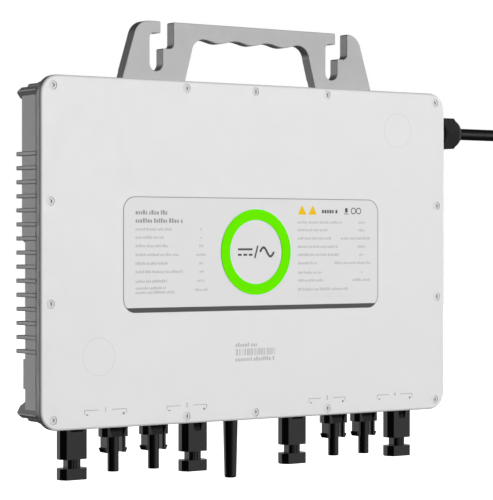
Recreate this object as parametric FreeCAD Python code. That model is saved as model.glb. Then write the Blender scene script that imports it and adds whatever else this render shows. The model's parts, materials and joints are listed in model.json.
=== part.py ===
import FreeCAD, Part
import math
import os

# Four-input micro inverter for solar panels: a flat die-cast box, hung from a rail by its handle,
# with a printed front cover, eight solar connectors and a stub antenna below, and one output cable.
# Everything is laid out in millimetres about the middle of the cover's front face, X to the right,
# Y to the back and Z up. write() then moves it, so that the origin of the part lies midway between
# the two hanging bolts, on the back face of the hanger.

V = FreeCAD.Vector
X_AXIS = V(1, 0, 0)
Y_AXIS = V(0, 1, 0)
Z_AXIS = V(0, 0, 1)

# Cover
COVER_W = 364.0
COVER_H = 246.0
COVER_T = 5.4
COVER_SKIN = 2.6
COVER_CORNER = 14.0
COVER_EDGE = 1.9
COVER_FLANGE = 14.0
SCREW_CORNER_X = 172.0
SCREW_CORNER_Z = 115.5
SCREW_SIDE_X = 173.9
SCREW_SIDE_Z = 35.4
SCREW_ROW_X = (-61.3, -0.4, 66.0)
SCREW_ROW_Z = 117.7
SCREW_HEAD_R = 3.0
SCREW_SHANK_R = 1.95
SCREW_REACH = 10.8
SCREW_SUNK = 0.25
SCREW_ROUND = 0.35
DRIVE_FLATS = 2.6
DRIVE_DEPTH = 1.0
CAVITY_CORNER = 6.0

# Label
LABEL_W = 230.4
LABEL_TOP = 39.7
LABEL_BOTTOM = -42.8
LABEL_CORNER = 10.0
LABEL_T = 0.3
LABEL_RECESS = 0.2
RING_R = 31.4
RING_HOLE_R = 23.5
RING_T = 0.4

# Housing
GASKET_T = 0.8
HOUSE_FRONT = COVER_T + GASKET_T
HOUSE_X = 180.5
HOUSE_Z = 115.2
WALL = 3.0
BLOCK_X = 176.5
BLOCK_Z = 117.8
BLOCK_BACK = 27.5
BLOCK_CORNER = 2.4
WALL_CORNER = 4.0
RIM_Z = 121.0
RIM_CORNER = 12.5
RIM_BACK = 14.5
FLANGE_BACK = 10.5
SEAM_FRONT = 8.3
SEAM_BACK = 9.2
SEAM_DEPTH = 0.7
THICK_RIM_X = 160.0
THICK_RIM_CORNER = 2.0
BACK_LOW = 23.9
BACK_HIGH = 28.3
PAD_BACK = 27.4
STEP_Z = 6.7
FLOOR_LOW = BACK_LOW - 2.5
FLOOR_HIGH = BACK_HIGH - 2.5
INNER_X = HOUSE_X - WALL
INNER_Z = BLOCK_Z - 3.3
FIN_BACK = 34.2
FIN_X = 182.0
FIN_T = 3.0
FIN_ROUND = 0.7
FIN_INSET = 0.3
FIN_PITCH = 9.81
FIN_COUNT = 15
RIDGE_ROOT_Z = 99.0
RIDGE_FOOT_Z = 109.1
RIDGE_BACK_Z = 111.3
RIDGE_CREST_Z = 112.1
RIDGE_CREST_H = 0.7
RIDGE_TOP_Z = 115.0
RIDGE_BACK = 33.2
RIDGE_TOP_BACK = 28.5
HIGH_RIDGE_RISE = [(BACK_HIGH, 105.0), (32.0, 108.0)]
LOW_RIDGE_RISE = [(BACK_LOW, 101.3), (32.6, 106.8)]
POST_R = 5.2
POST_LENGTH = 12.0

# Hanger
HANG_FRONT = 5.5
HANG_BACK = 14.0
HANG_TOP = 165.1
HANG_EDGE = 0.6
HANG_FOOT_Z = RIM_Z
SLOT_W = 11.0
SLOT_X = 79.0
SLOT_SHIFT = 4.65
SEAT_Z = 135.0
SLOT_LEDGE_Z = 145.9
SLOT_NOSE_Z = 156.6
SLOT_TIP_R = 1.2
GRIP_PITCH = 29.0
GRIP_WAVE = 1.2
GRIP_Z = 152.8
HANG_SCREWS_X = (-100.0, -72.0, 72.0, 100.0)
HANG_SCREW_Y = 19.0
HANG_FOOT_TOP = 123.4
HANG_RELIEF_TOP = 128.6
HANG_RELIEF = 0.5

# Connectors below
ROW_Y = 16.5
SOCKET_X = {"pv1_minus": -147.2, "pv2_plus": -45.0, "pv3_minus": 45.2, "pv4_plus": 146.9}
PLUG_X = {"pv1_plus": -113.2, "pv2_minus": -79.0, "pv3_plus": 84.6, "pv4_minus": 113.9}
LONG_RECESS = ("pv2_plus", "pv4_plus")
BODY_D = 13.4
BODY_FRONT_HALF = 8.1
BODY_SIDE_HALF = 11.0
BASE_D = 12.6
BASE_FRONT_HALF = 8.5
BASE_SIDE_HALF = 10.6
SIDE_FLAT_HALF = 2.2
NOTCH_HALF = 11.6
POCKET_TOP = -120.0
POCKET_DEEP = 3.1
POCKET_SHALLOW = 0.4
LONG_POCKET = (-129.6, 4.7, 2.7)
SHORT_POCKET = (-125.3, 6.8, 4.8)
PLUG_POCKET = (7.9, 4.4)
BAR_ROUND = 0.35
OUTLET_R = 4.3
OUTLET_DEPTH = 24.0
LEAD_HOLE_R = 2.6
BASE_TOP = -BLOCK_Z - 0.8
BODY_BOTTOM = -144.6
BLOCK_TOP = -150.9
BLOCK_BOTTOM = -159.0
NECK_R = 6.1
NECK_FLAT = 5.2
NECK_GROOVE_PITCH = 2.7
NECK_GROOVE_HALF = 0.35
NECK_GROOVE_FLOOR = 5.3
BASE_BOTTOM = -130.5
TUBE_R = 4.05
TUBE_BOTTOM = -155.4
STUB_R = 5.0
STUB_TOP = -106.5
ARM_IN = 6.2
ARM_OUT = 7.9
ARM_HALF = 4.3
ARM_PIVOT_Z = -129.7
ARM_BOTTOM = -141.8
BARB_TOP = -138.2
BARB_TIP = -138.8
BARB_REACH = 1.6
CONTACT_R = 2.5
PIN_R = 2.0
PIN_SHOULDER = -134.0
PIN_TIP = -152.0
SOCKET_MOUTH = -154.4
SOCKET_BORE_R = 2.05
TAIL_TOP = -104.5

# Antenna
ANTENNA_X = -11.4
ANTENNA_TOP = -122.5
ANTENNA_TIP = -166.2
ANTENNA_TOP_R = 5.5
ANTENNA_TIP_R = 4.45
ANTENNA_NOTCH_HALF = 6.4

# Output gland and cable
GLAND_Y = 17.0
GLAND_Z = 93.0
NUT_START = 188.0
NUT_HEX_END = 201.0
NUT_END = 208.2
NUT_FLATS = 24.0
CABLE_D = 9.0
CABLE_START = 202.0

# Plug on the output cable
HANG_X = 338.0
HANG_Y = 20.0
PLUG_BODY_TOP = -129.0
PLUG_END = -176.0

# Fittings on the right-hand wall
EARTH_Z = -80.0
VENT_Z = -98.0

# Circuit board
BOARD_Y = 17.6
BOARD_T = 1.6
BOARD_X = (-168.0, 160.0)
BOARD_Z = (-92.0, 104.0)
BOARD_SCREWS_LOW = [(x, -84.0) for x in (-160.0, -96.0, 3.0, 97.0)]
BOARD_SCREWS_HIGH = [(x, 98.0) for x in (-160.0, -96.0, 40.0, 97.0)]
BOARD_SCREWS = BOARD_SCREWS_LOW + BOARD_SCREWS_HIGH
TRAFO_X = (-130.0, -66.0, -2.0, 62.0)
TRAFO_Z = 62.0


def box(x0, x1, y0, y1, z0, z1):
    return Part.makeBox(x1 - x0, y1 - y0, z1 - z0, V(x0, y0, z0))


def rod(radius, start, axis, length):
    return Part.makeCylinder(radius, length, start, axis)


def slab(x, z0, z1, y0, y1, corner):
    """A plate across the cover's face, from -x to x, with round corners."""
    plate = box(-x, x, y0, y1, z0, z1)
    upright = [e for e in plate.Edges if abs(e.BoundBox.YLength - (y1 - y0)) < 1e-6]
    return plate.makeFillet(corner, upright)


def extrude(points, direction):
    return Part.Face(Part.makePolygon(points + [points[0]])).extrude(direction)


def hexagon(flats, start, axis, length, turn):
    """A hexagonal bar, turned about its axis by a number of degrees from its side direction."""
    side = V(0, 0, 1) if abs(axis.z) < 0.5 else V(1, 0, 0)
    reach = flats / math.sqrt(3)
    across = axis.cross(side)
    corners = []
    for k in range(6):
        angle = math.radians(turn + 60 * k)
        corners.append(start + side * (reach * math.cos(angle)) + across * (reach * math.sin(angle)))
    return extrude(corners, axis * length)


def join(shapes):
    return shapes[0].multiFuse(shapes[1:]).removeSplitter() if len(shapes) > 1 else shapes[0]


def cut(shape, tools):
    return shape.cut(tools)


def edges_at(shape, test):
    return [e for e in shape.Edges if test(e.BoundBox)]


def across_edges(shape, x, z):
    """The edge that runs front to back at one place."""
    return edges_at(shape, lambda b: b.YLength > 1 and abs(b.XMin - x) < 1e-3 and abs(b.ZMin - z) < 1e-3)


def route_wire(points, report=None):
    """Straight runs joined by tangent arcs, each arc as large as its two runs allow."""
    edges = []
    here = points[0]
    radii = []
    for before, corner, after in zip(points, points[1:], points[2:]):
        into = (corner - before).normalize()
        out = (after - corner).normalize()
        shorter = min((corner - before).Length, (after - corner).Length)
        turn = into.getAngle(out)
        radii.append(0.45 * shorter / math.tan(turn / 2))
        reach = 0.45 * shorter
        first = corner - into * reach
        last = corner + out * reach
        centre_way = (out - into).normalize()
        middle = corner + centre_way * (radii[-1] / math.cos(turn / 2) - radii[-1])
        edges.append(Part.LineSegment(here, first).toShape())
        edges.append(Part.Arc(first, middle, last).toShape())
        here = last
    edges.append(Part.LineSegment(here, points[-1]).toShape())
    if report:
        print(report, "radii", [round(r, 1) for r in radii])
    return Part.Wire(edges)


def tube(points, diameter, report=None):
    path = route_wire(points, report)
    start = (points[1] - points[0]).normalize()
    ring = Part.Wire([Part.Circle(points[0], start, diameter / 2).toShape()])
    solid = path.makePipeShell([ring], True, False)
    if report:
        expected = math.pi * diameter ** 2 / 4 * path.Length
        print(report, "length", round(path.Length, 1), "volume share", round(solid.Volume / expected, 4))
    return solid


def cover_screw_places():
    places = []
    for sz in (-1, 1):
        for sx in (-1, 1):
            places.append((sx * SCREW_CORNER_X, sz * SCREW_CORNER_Z))
            places.append((sx * SCREW_SIDE_X, sz * SCREW_SIDE_Z))
        for x in SCREW_ROW_X:
            places.append((x, sz * SCREW_ROW_Z))
    return places


# ---- cover, gasket, label and ring ----

def front_cover():
    plate = slab(COVER_W / 2, -COVER_H / 2, COVER_H / 2, 0, COVER_T, COVER_CORNER)
    rim = edges_at(plate, lambda b: b.YMax < 1e-6)
    plate = plate.makeFillet(COVER_EDGE, rim)
    inner_x = COVER_W / 2 - COVER_FLANGE
    inner_z = COVER_H / 2 - COVER_FLANGE
    tools = [slab(inner_x, -inner_z, inner_z, COVER_SKIN, COVER_T + 1, CAVITY_CORNER)]
    low = LABEL_BOTTOM - 0.05
    high = LABEL_TOP + 0.05
    tools.append(slab(LABEL_W / 2 + 0.05, low, high, -1, LABEL_RECESS, LABEL_CORNER))
    for x, z in cover_screw_places():
        tools.append(rod(SCREW_SHANK_R + 0.25, V(x, -1, z), Y_AXIS, COVER_T + 2))
        tools.append(rod(SCREW_HEAD_R + 0.1, V(x, -1, z), Y_AXIS, 1 + COVER_SKIN))
    return cut(plate, tools)


def cover_screws():
    screws = []
    for x, z in cover_screw_places():
        head = rod(SCREW_HEAD_R, V(x, SCREW_SUNK, z), Y_AXIS, COVER_SKIN - SCREW_SUNK)
        head = head.makeFillet(SCREW_ROUND, edges_at(head, lambda b: b.YMax < SCREW_SUNK + 1e-6))
        shank = rod(SCREW_SHANK_R, V(x, COVER_SKIN, z), Y_AXIS, SCREW_REACH - COVER_SKIN)
        drive = hexagon(DRIVE_FLATS, V(x, 0, z), Y_AXIS, SCREW_SUNK + DRIVE_DEPTH, 0)
        screws.append(cut(join([head, shank]), [drive]))
    return screws


def cover_gasket():
    outer = slab(HOUSE_X - 0.1, -RIM_Z + 0.1, RIM_Z - 0.1, COVER_T, HOUSE_FRONT, RIM_CORNER)
    inner_x = COVER_W / 2 - COVER_FLANGE
    inner_z = COVER_H / 2 - COVER_FLANGE
    tools = [slab(inner_x, -inner_z, inner_z, 0, 20, CAVITY_CORNER)]
    for x, z in cover_screw_places():
        tools.append(rod(2.5, V(x, 0, z), Y_AXIS, 20))
    return cut(outer, tools)


def label_film():
    return slab(LABEL_W / 2, LABEL_BOTTOM, LABEL_TOP, LABEL_RECESS - LABEL_T, LABEL_RECESS, LABEL_CORNER)


def green_ring():
    front = LABEL_RECESS - LABEL_T - RING_T
    disc = rod(RING_R, V(0, front, 0), Y_AXIS, RING_T)
    return cut(disc, [rod(RING_HOLE_R, V(0, front - 1, 0), Y_AXIS, RING_T + 2)])


# ---- housing ----

def ridge(side, back_profile):
    """The bulge along the top or bottom edge, side 1 or -1. Its slanted ends stand proud of the walls."""
    profile = [(HOUSE_FRONT, RIDGE_ROOT_Z)] + back_profile
    profile += [(RIDGE_BACK, RIDGE_BACK_Z), (RIDGE_TOP_BACK, RIDGE_TOP_Z), (HOUSE_FRONT, RIDGE_TOP_Z)]
    along_x = extrude([V(-FIN_X, y, side * z) for y, z in profile], X_AXIS * (2 * FIN_X))
    slope = (FIN_X - HOUSE_X) / (RIDGE_CREST_Z - RIDGE_FOOT_Z)
    inner_x = FIN_X - slope * (RIDGE_CREST_Z - RIDGE_ROOT_Z)
    crest_top = RIDGE_CREST_Z + RIDGE_CREST_H
    end = [(inner_x, RIDGE_ROOT_Z), (FIN_X, RIDGE_CREST_Z), (FIN_X, crest_top), (HOUSE_X, RIDGE_TOP_Z + 0.1)]
    outline = end + [(-x, z) for x, z in end[::-1]]
    along_y = extrude([V(x, 0, side * z) for x, z in outline], Y_AXIS * 40)
    return along_x.common(along_y)


def fin(z):
    half = FIN_T / 2
    bar = box(-FIN_X, FIN_X, HOUSE_FRONT + FIN_INSET, FIN_BACK, z - half, z + half)
    return bar.makeFillet(FIN_ROUND, edges_at(bar, lambda b: b.YMax > FIN_BACK - 1))


def heat_sink():
    walls = [slab(HOUSE_X, -HOUSE_Z, HOUSE_Z, HOUSE_FRONT, BACK_LOW, WALL_CORNER)]
    walls.append(slab(HOUSE_X, STEP_Z, HOUSE_Z, HOUSE_FRONT, BACK_HIGH, WALL_CORNER))
    seam = slab(HOUSE_X + 1, -HOUSE_Z - 1, HOUSE_Z + 1, SEAM_FRONT, SEAM_BACK, WALL_CORNER)
    inside_seam = slab(HOUSE_X - SEAM_DEPTH, -HOUSE_Z - 2, HOUSE_Z + 2, SEAM_FRONT - 1, SEAM_BACK + 1, WALL_CORNER)
    solids = [cut(join(walls), [cut(seam, [inside_seam])])]
    solids.append(slab(BLOCK_X, -BLOCK_Z, BLOCK_Z, HOUSE_FRONT, BLOCK_BACK, BLOCK_CORNER))
    solids.append(slab(HOUSE_X, -RIM_Z, RIM_Z, HOUSE_FRONT, SEAM_FRONT, RIM_CORNER))
    solids.append(slab(HOUSE_X - SEAM_DEPTH, -RIM_Z, RIM_Z, HOUSE_FRONT, FLANGE_BACK, RIM_CORNER))
    solids.append(slab(THICK_RIM_X, -RIM_Z, RIM_Z, HOUSE_FRONT, RIM_BACK, THICK_RIM_CORNER))
    solids.append(ridge(1, HIGH_RIDGE_RISE))
    solids.append(ridge(-1, LOW_RIDGE_RISE))
    for k in range(FIN_COUNT):
        solids.append(fin((k - (FIN_COUNT - 1) / 2) * FIN_PITCH))
    for x0, x1 in ((-HOUSE_X, -112.0), (112.0, HOUSE_X)):
        pad = box(x0, x1, BACK_LOW - 1, PAD_BACK, -95.0, -74.0)
        solids.append(pad.makeFillet(1.2, edges_at(pad, lambda b: b.YMin > PAD_BACK - 1e-6)))
    gland_boss = rod(14.0, V(158.0, GLAND_Y, GLAND_Z), X_AXIS, HOUSE_X - 158.0)
    solids.append(gland_boss.common(box(150, 190, 15, 40, 70, 120)))
    body = join(solids)

    cavity = [slab(INNER_X, -INNER_Z, INNER_Z, 0, FLOOR_LOW, WALL_CORNER)]
    cavity.append(slab(INNER_X, STEP_Z + 3.0, 111.0, FLOOR_LOW - 1, FLOOR_HIGH, 3.0))
    trench = [(FLOOR_LOW - 1, 103.8), (27.5, 110.0), (27.5, 112.0), (25.5, INNER_Z), (FLOOR_LOW - 1, INNER_Z)]
    cavity.append(extrude([V(-172, y, -z) for y, z in trench], X_AXIS * 344))
    cavity.append(box(164.0, INNER_X, 18.0, 28.0, 80.5, 105.5))
    cavity.append(rod(8.1, V(170, GLAND_Y, GLAND_Z), X_AXIS, 20))
    body = cut(body, cavity)

    posts = []
    holes = []
    for x, z in cover_screw_places():
        if abs(z) < SCREW_ROW_Z - 1:
            post = rod(POST_R, V(x, HOUSE_FRONT, z), Y_AXIS, POST_LENGTH)
            posts.append(post.common(slab(HOUSE_X - 1, -RIM_Z + 1, RIM_Z - 1, 0, 30, RIM_CORNER)))
        holes.append(rod(SCREW_SHANK_R + 0.05, V(x, 0, z), Y_AXIS, SCREW_REACH + 0.6))
    for x, z in BOARD_SCREWS:
        floor = FLOOR_HIGH if z > 0 else FLOOR_LOW
        top = BOARD_Y + BOARD_T
        posts.append(rod(4.0, V(x, top, z), Y_AXIS, floor + 0.5 - top))
        holes.append(rod(1.5, V(x, top - 1, z), Y_AXIS, 4.4))
    for z in (EARTH_Z, VENT_Z):
        post = rod(6.0, V(170.0, GLAND_Y, z), X_AXIS, INNER_X - 169.5)
        posts.append(post.common(box(160, 180, 10, FLOOR_LOW + 1, -120, 0)))
    for x in HANG_SCREWS_X:
        post = box(x - 5, x + 5, HANG_SCREW_Y - 5, FLOOR_HIGH + 0.5, 106.0, INNER_Z + 0.5)
        posts.append(post)
        holes.append(rod(2.3, V(x, HANG_SCREW_Y, 108.0), Z_AXIS, 20))
    body = join([body] + posts)

    for x in list(SOCKET_X.values()) + list(PLUG_X.values()):
        holes.append(rod(STUB_R + 0.1, V(x, ROW_Y, -125), Z_AXIS, 14))
        holes.append(box(x - NOTCH_HALF, x + NOTCH_HALF, ROW_Y - 7.2, 30, -RIM_Z - 1, -BLOCK_Z))
    holes.append(rod(3.2, V(ANTENNA_X, ROW_Y, -125), Z_AXIS, 14))
    notch_x = (ANTENNA_X - ANTENNA_NOTCH_HALF, ANTENNA_X + ANTENNA_NOTCH_HALF)
    holes.append(box(*notch_x, ROW_Y - 6.0, 30, -RIM_Z - 1, -BLOCK_Z))
    holes.append(rod(2.0, V(171.0, GLAND_Y, EARTH_Z), X_AXIS, 15))
    holes.append(rod(4.1, V(165.0, GLAND_Y, VENT_Z), X_AXIS, 20))
    return cut(body, holes)


def earth_screw():
    washer = rod(5.0, V(HOUSE_X, GLAND_Y, EARTH_Z), X_AXIS, 1.0)
    washer = cut(washer, [rod(2.2, V(HOUSE_X - 1, GLAND_Y, EARTH_Z), X_AXIS, 4)])
    head = rod(3.8, V(HOUSE_X + 1.0, GLAND_Y, EARTH_Z), X_AXIS, 2.8)
    head = head.makeFillet(0.9, edges_at(head, lambda b: b.XMin > HOUSE_X + 3.7))
    shank = rod(1.95, V(HOUSE_X - 8.0, GLAND_Y, EARTH_Z), X_AXIS, 9.0)
    end = HOUSE_X + 3.8
    cross = [box(end - 1.6, end + 1, GLAND_Y - 2.2, GLAND_Y + 2.2, EARTH_Z - 0.4, EARTH_Z + 0.4)]
    cross.append(box(end - 1.6, end + 1, GLAND_Y - 0.4, GLAND_Y + 0.4, EARTH_Z - 2.2, EARTH_Z + 2.2))
    return [washer, cut(join([head, shank]), cross)]


def vent_plug():
    cap = rod(6.5, V(HOUSE_X, GLAND_Y, VENT_Z), X_AXIS, 3.2)
    cap = cap.makeFillet(0.8, edges_at(cap, lambda b: b.XMin > HOUSE_X + 3.1))
    stem = rod(4.0, V(HOUSE_X - 9.0, GLAND_Y, VENT_Z), X_AXIS, 9.5)
    slots = []
    for turn in (0, 60, 120):
        bar = box(HOUSE_X + 1.4, HOUSE_X + 2.4, GLAND_Y - 7, GLAND_Y + 7, VENT_Z - 0.6, VENT_Z + 0.6)
        bar.rotate(V(HOUSE_X, GLAND_Y, VENT_Z), X_AXIS, turn)
        slots.append(bar)
    core = rod(4.6, V(HOUSE_X, GLAND_Y, VENT_Z), X_AXIS, 3.0)
    return join([cut(cap, slots), stem, core])


# ---- hanger ----

def slot_cut(middle):
    """One stepped hook slot: a bolt drops in at the right, moves left and settles in the round seat."""
    half = SLOT_W / 2
    seat_x = middle - SLOT_SHIFT
    entry_x = middle + SLOT_SHIFT
    seat = box(seat_x - half, seat_x + half, 0, 30, SEAT_Z, SLOT_NOSE_Z)
    seat = seat.makeFillet(3.5, across_edges(seat, seat_x - half, SLOT_NOSE_Z))
    entry = box(entry_x - half, entry_x + half, 0, 30, SLOT_LEDGE_Z, HANG_TOP + 5)
    entry = entry.makeFillet(3.5, across_edges(entry, entry_x + half, SLOT_LEDGE_Z))
    bottom = rod(half, V(seat_x, 0, SEAT_Z), Y_AXIS, 30)
    return join([seat, entry, bottom])


def slot_tips(plate, middle):
    """The plate's outward corners round one hook slot."""
    half = SLOT_W / 2
    seat_x = middle - SLOT_SHIFT
    entry_x = middle + SLOT_SHIFT
    places = [(entry_x - half, HANG_TOP), (entry_x + half, HANG_TOP)]
    places += [(entry_x - half, SLOT_NOSE_Z), (seat_x + half, SLOT_LEDGE_Z)]
    return [edge for x, z in places for edge in across_edges(plate, x, z)]


def hanger_outline():
    left = [V(-113.2, 0, HANG_FOOT_Z), V(-102.5, 0, 155.2), V(-98.3, 0, 162.0), V(-90.0, 0, HANG_TOP)]
    right = [V(-p.x, 0, p.z) for p in left]
    edges = [Part.LineSegment(left[0], left[1]).toShape()]
    edges.append(Part.Arc(left[1], left[2], left[3]).toShape())
    edges.append(Part.LineSegment(left[3], right[3]).toShape())
    edges.append(Part.Arc(right[3], right[2], right[1]).toShape())
    edges.append(Part.LineSegment(right[1], right[0]).toShape())
    edges.append(Part.LineSegment(right[0], left[0]).toShape())
    return Part.Face(Part.Wire(edges)).extrude(V(0, HANG_BACK - HANG_FRONT, 0))


def grip_cut():
    """The hand opening, its upper edge a row of finger hollows."""
    reach = 1.5 * GRIP_PITCH
    top = GRIP_Z + GRIP_WAVE
    wave = []
    steps = 36
    for k in range(steps + 1):
        x = -reach + 2 * reach * k / steps
        wave.append(V(x, 0, GRIP_Z + GRIP_WAVE * math.cos(2 * math.pi * (x - GRIP_PITCH / 2) / GRIP_PITCH)))
    curve = Part.BSplineCurve()
    curve.interpolate(wave)
    foot = V(-60.7, 0, HANG_FOOT_Z - 5)
    knee = V(-52.9, 0, 144.7)
    bend = V(-49.6, 0, 151.3)
    start = V(-reach, 0, top)
    edges = [Part.LineSegment(foot, knee).toShape(), Part.Arc(knee, bend, start).toShape(), curve.toShape()]
    mirror = [V(-p.x, 0, p.z) for p in (start, bend, knee, foot)]
    edges.append(Part.Arc(mirror[0], mirror[1], mirror[2]).toShape())
    edges.append(Part.LineSegment(mirror[2], mirror[3]).toShape())
    edges.append(Part.LineSegment(mirror[3], foot).toShape())
    return Part.Face(Part.Wire(edges)).extrude(V(0, 40, 0))


def hanger_bracket():
    plate = hanger_outline()
    plate.translate(V(0, HANG_FRONT, 0))
    plate = cut(plate, [grip_cut(), slot_cut(-SLOT_X), slot_cut(SLOT_X)])
    plate = plate.makeFillet(SLOT_TIP_R, slot_tips(plate, -SLOT_X) + slot_tips(plate, SLOT_X))
    front = edges_at(plate, lambda b: b.YMax < HANG_FRONT + 1e-6 and b.ZMax > HANG_FOOT_Z + 1)
    plate = plate.makeFillet(HANG_EDGE, front)
    feet = []
    for sx in (-1, 1):
        x0, x1 = sorted((sx * 62.0, sx * 110.0))
        foot = box(x0, x1, HANG_BACK - 1.0, 24.0, BLOCK_Z, HANG_FOOT_TOP)
        rear = edges_at(foot, lambda b: b.YMin > 23.9 and b.ZLength > 1)
        feet.append(foot.makeFillet(4.0, rear))
    clear = [box(-120, 120, 0, RIM_BACK + 0.2, 100, RIM_Z)]
    clear.append(box(-120, 120, HANG_BACK - HANG_RELIEF, HANG_BACK + 15, HANG_FOOT_TOP, HANG_RELIEF_TOP))
    bracket = cut(join([plate] + feet), clear)
    holes = [rod(2.75, V(x, HANG_SCREW_Y, 110), Z_AXIS, 30) for x in HANG_SCREWS_X]
    return cut(bracket, holes)


def hanger_screws():
    screws = []
    for x in HANG_SCREWS_X:
        head = rod(4.2, V(x, HANG_SCREW_Y, HANG_FOOT_TOP), Z_AXIS, 4.2)
        head = head.makeFillet(0.5, edges_at(head, lambda b: b.ZMin > 127.5))
        shank = rod(2.25, V(x, HANG_SCREW_Y, 109.4), Z_AXIS, 14.0)
        drive = hexagon(4.0, V(x, HANG_SCREW_Y, 125.3), Z_AXIS, 4.0, 0)
        screws.append(cut(join([head, shank]), [drive]))
    return screws


# ---- solar connectors ----

def tapered_pocket(x, front, bottom, top_half, low_half):
    """A pocket in a connector's front face, narrower and shallower towards its lower end."""
    outline = [V(x - top_half, front - 1, POCKET_TOP), V(x - low_half, front - 1, bottom)]
    outline += [V(x + low_half, front - 1, bottom), V(x + top_half, front - 1, POCKET_TOP)]
    floor = [(front - 1, POCKET_TOP), (front + POCKET_DEEP, POCKET_TOP), (front + POCKET_SHALLOW, bottom)]
    floor.append((front - 1, bottom))
    wedge = extrude([V(x - 10, y, z) for y, z in floor], X_AXIS * 20)
    return extrude(outline, Y_AXIS * 6).common(wedge)


def eight_sided_bar(x, front_half, side_half, depth, z0, z1):
    """A connector's block: flat in front and at the sides, with broad slopes between them."""
    half = [(front_half, -depth / 2), (side_half, -SIDE_FLAT_HALF), (side_half, SIDE_FLAT_HALF)]
    half.append((front_half, depth / 2))
    corners = half + [(-u, v) for u, v in half[::-1]]
    bar = extrude([V(x + u, ROW_Y + v, z0) for u, v in corners], Z_AXIS * (z1 - z0))
    return bar.makeFillet(BAR_ROUND, edges_at(bar, lambda b: b.ZLength > z1 - z0 - 1e-6))


def stub(x):
    return rod(STUB_R, V(x, ROW_Y, BASE_TOP), Z_AXIS, STUB_TOP - BASE_TOP)


def socket_shell(name, x):
    body = eight_sided_bar(x, BODY_FRONT_HALF, BODY_SIDE_HALF, BODY_D, BODY_BOTTOM, BASE_TOP)
    neck = rod(NECK_R, V(x, ROW_Y, BLOCK_TOP), Z_AXIS, BODY_BOTTOM - BLOCK_TOP)
    neck = neck.common(box(x - NECK_FLAT, x + NECK_FLAT, 0, 40, BLOCK_TOP, BODY_BOTTOM))
    end = eight_sided_bar(x, BODY_FRONT_HALF, BODY_SIDE_HALF, BODY_D, BLOCK_BOTTOM, BLOCK_TOP)
    end = end.makeChamfer(0.3, edges_at(end, lambda b: b.ZMax < BLOCK_BOTTOM + 1e-6))
    front = ROW_Y - BODY_D / 2
    pocket = LONG_POCKET if name in LONG_RECESS else SHORT_POCKET
    tools = [tapered_pocket(x, front, *pocket)]
    groove_x = (x - NECK_GROOVE_HALF, x + NECK_GROOVE_HALF)
    for k in (-1, 0, 1):
        groove = box(*groove_x, ROW_Y - NECK_R - 1, ROW_Y - NECK_GROOVE_FLOOR, BLOCK_TOP, BODY_BOTTOM)
        groove.translate(X_AXIS * (k * NECK_GROOVE_PITCH))
        tools.append(groove)
    tools.append(rod(OUTLET_R, V(x, ROW_Y, BLOCK_BOTTOM - 1), Z_AXIS, OUTLET_DEPTH + 1))
    tools.append(rod(LEAD_HOLE_R, V(x, ROW_Y, -140), Z_AXIS, 40))
    return cut(join([body, neck, end, stub(x)]), tools)


def plug_shell(x):
    base = eight_sided_bar(x, BASE_FRONT_HALF, BASE_SIDE_HALF, BASE_D, BASE_BOTTOM, BASE_TOP)
    sleeve = rod(TUBE_R, V(x, ROW_Y, TUBE_BOTTOM), Z_AXIS, BASE_BOTTOM - TUBE_BOTTOM + 1)
    sleeve = sleeve.makeFillet(0.5, edges_at(sleeve, lambda b: b.ZMax < TUBE_BOTTOM + 1e-6))
    tools = [tapered_pocket(x, ROW_Y - BASE_D / 2, BASE_BOTTOM - 1, *PLUG_POCKET)]
    for sx in (-1, 1):
        x0, x1 = sorted((x + sx * (ARM_IN - 0.35), x + sx * (ARM_OUT + 0.35)))
        slot = box(x0, x1, ROW_Y - ARM_HALF - 0.3, ROW_Y + ARM_HALF + 0.3, BASE_BOTTOM - 1, ARM_PIVOT_Z + 1.2)
        tools.append(slot)
    tools.append(rod(LEAD_HOLE_R, V(x, ROW_Y, -160), Z_AXIS, 60))
    return cut(join([base, sleeve, stub(x)]), tools)


def snap_arm(x, side):
    """A latch arm hinged in its base, with an outward barb at its lower end."""
    barb = [(ARM_IN, ARM_PIVOT_Z), (ARM_OUT, ARM_PIVOT_Z), (ARM_OUT, BARB_TOP), (ARM_OUT + BARB_REACH, BARB_TIP)]
    barb += [(ARM_OUT + 0.2, ARM_BOTTOM), (ARM_IN, ARM_BOTTOM)]
    start = ROW_Y - ARM_HALF
    blade = extrude([V(x + side * u, start, z) for u, z in barb], V(0, 2 * ARM_HALF, 0))
    middle = x + side * (ARM_IN + ARM_OUT) / 2
    root = rod((ARM_OUT - ARM_IN) / 2, V(middle, start, ARM_PIVOT_Z), Y_AXIS, 2 * ARM_HALF)
    return join([blade, root])


def pin_contact(x):
    shank = rod(CONTACT_R, V(x, ROW_Y, PIN_SHOULDER), Z_AXIS, TAIL_TOP - PIN_SHOULDER)
    pin = rod(PIN_R, V(x, ROW_Y, PIN_TIP), Z_AXIS, PIN_SHOULDER - PIN_TIP + 0.5)
    pin = pin.makeFillet(1.2, edges_at(pin, lambda b: b.ZMax < PIN_TIP + 0.1))
    return join([shank, pin])


def socket_contact(x):
    barrel = rod(CONTACT_R, V(x, ROW_Y, SOCKET_MOUTH), Z_AXIS, TAIL_TOP - SOCKET_MOUTH)
    return cut(barrel, [rod(SOCKET_BORE_R, V(x, ROW_Y, SOCKET_MOUTH - 0.6), Z_AXIS, 18)])


def connector_seals():
    seals = []
    for x in list(SOCKET_X.values()) + list(PLUG_X.values()):
        ring = rod(6.0, V(x, ROW_Y, BASE_TOP), Z_AXIS, -BLOCK_Z - BASE_TOP)
        seals.append(cut(ring, [rod(STUB_R + 0.05, V(x, ROW_Y, -125), Z_AXIS, 20)]))
    return seals


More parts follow.
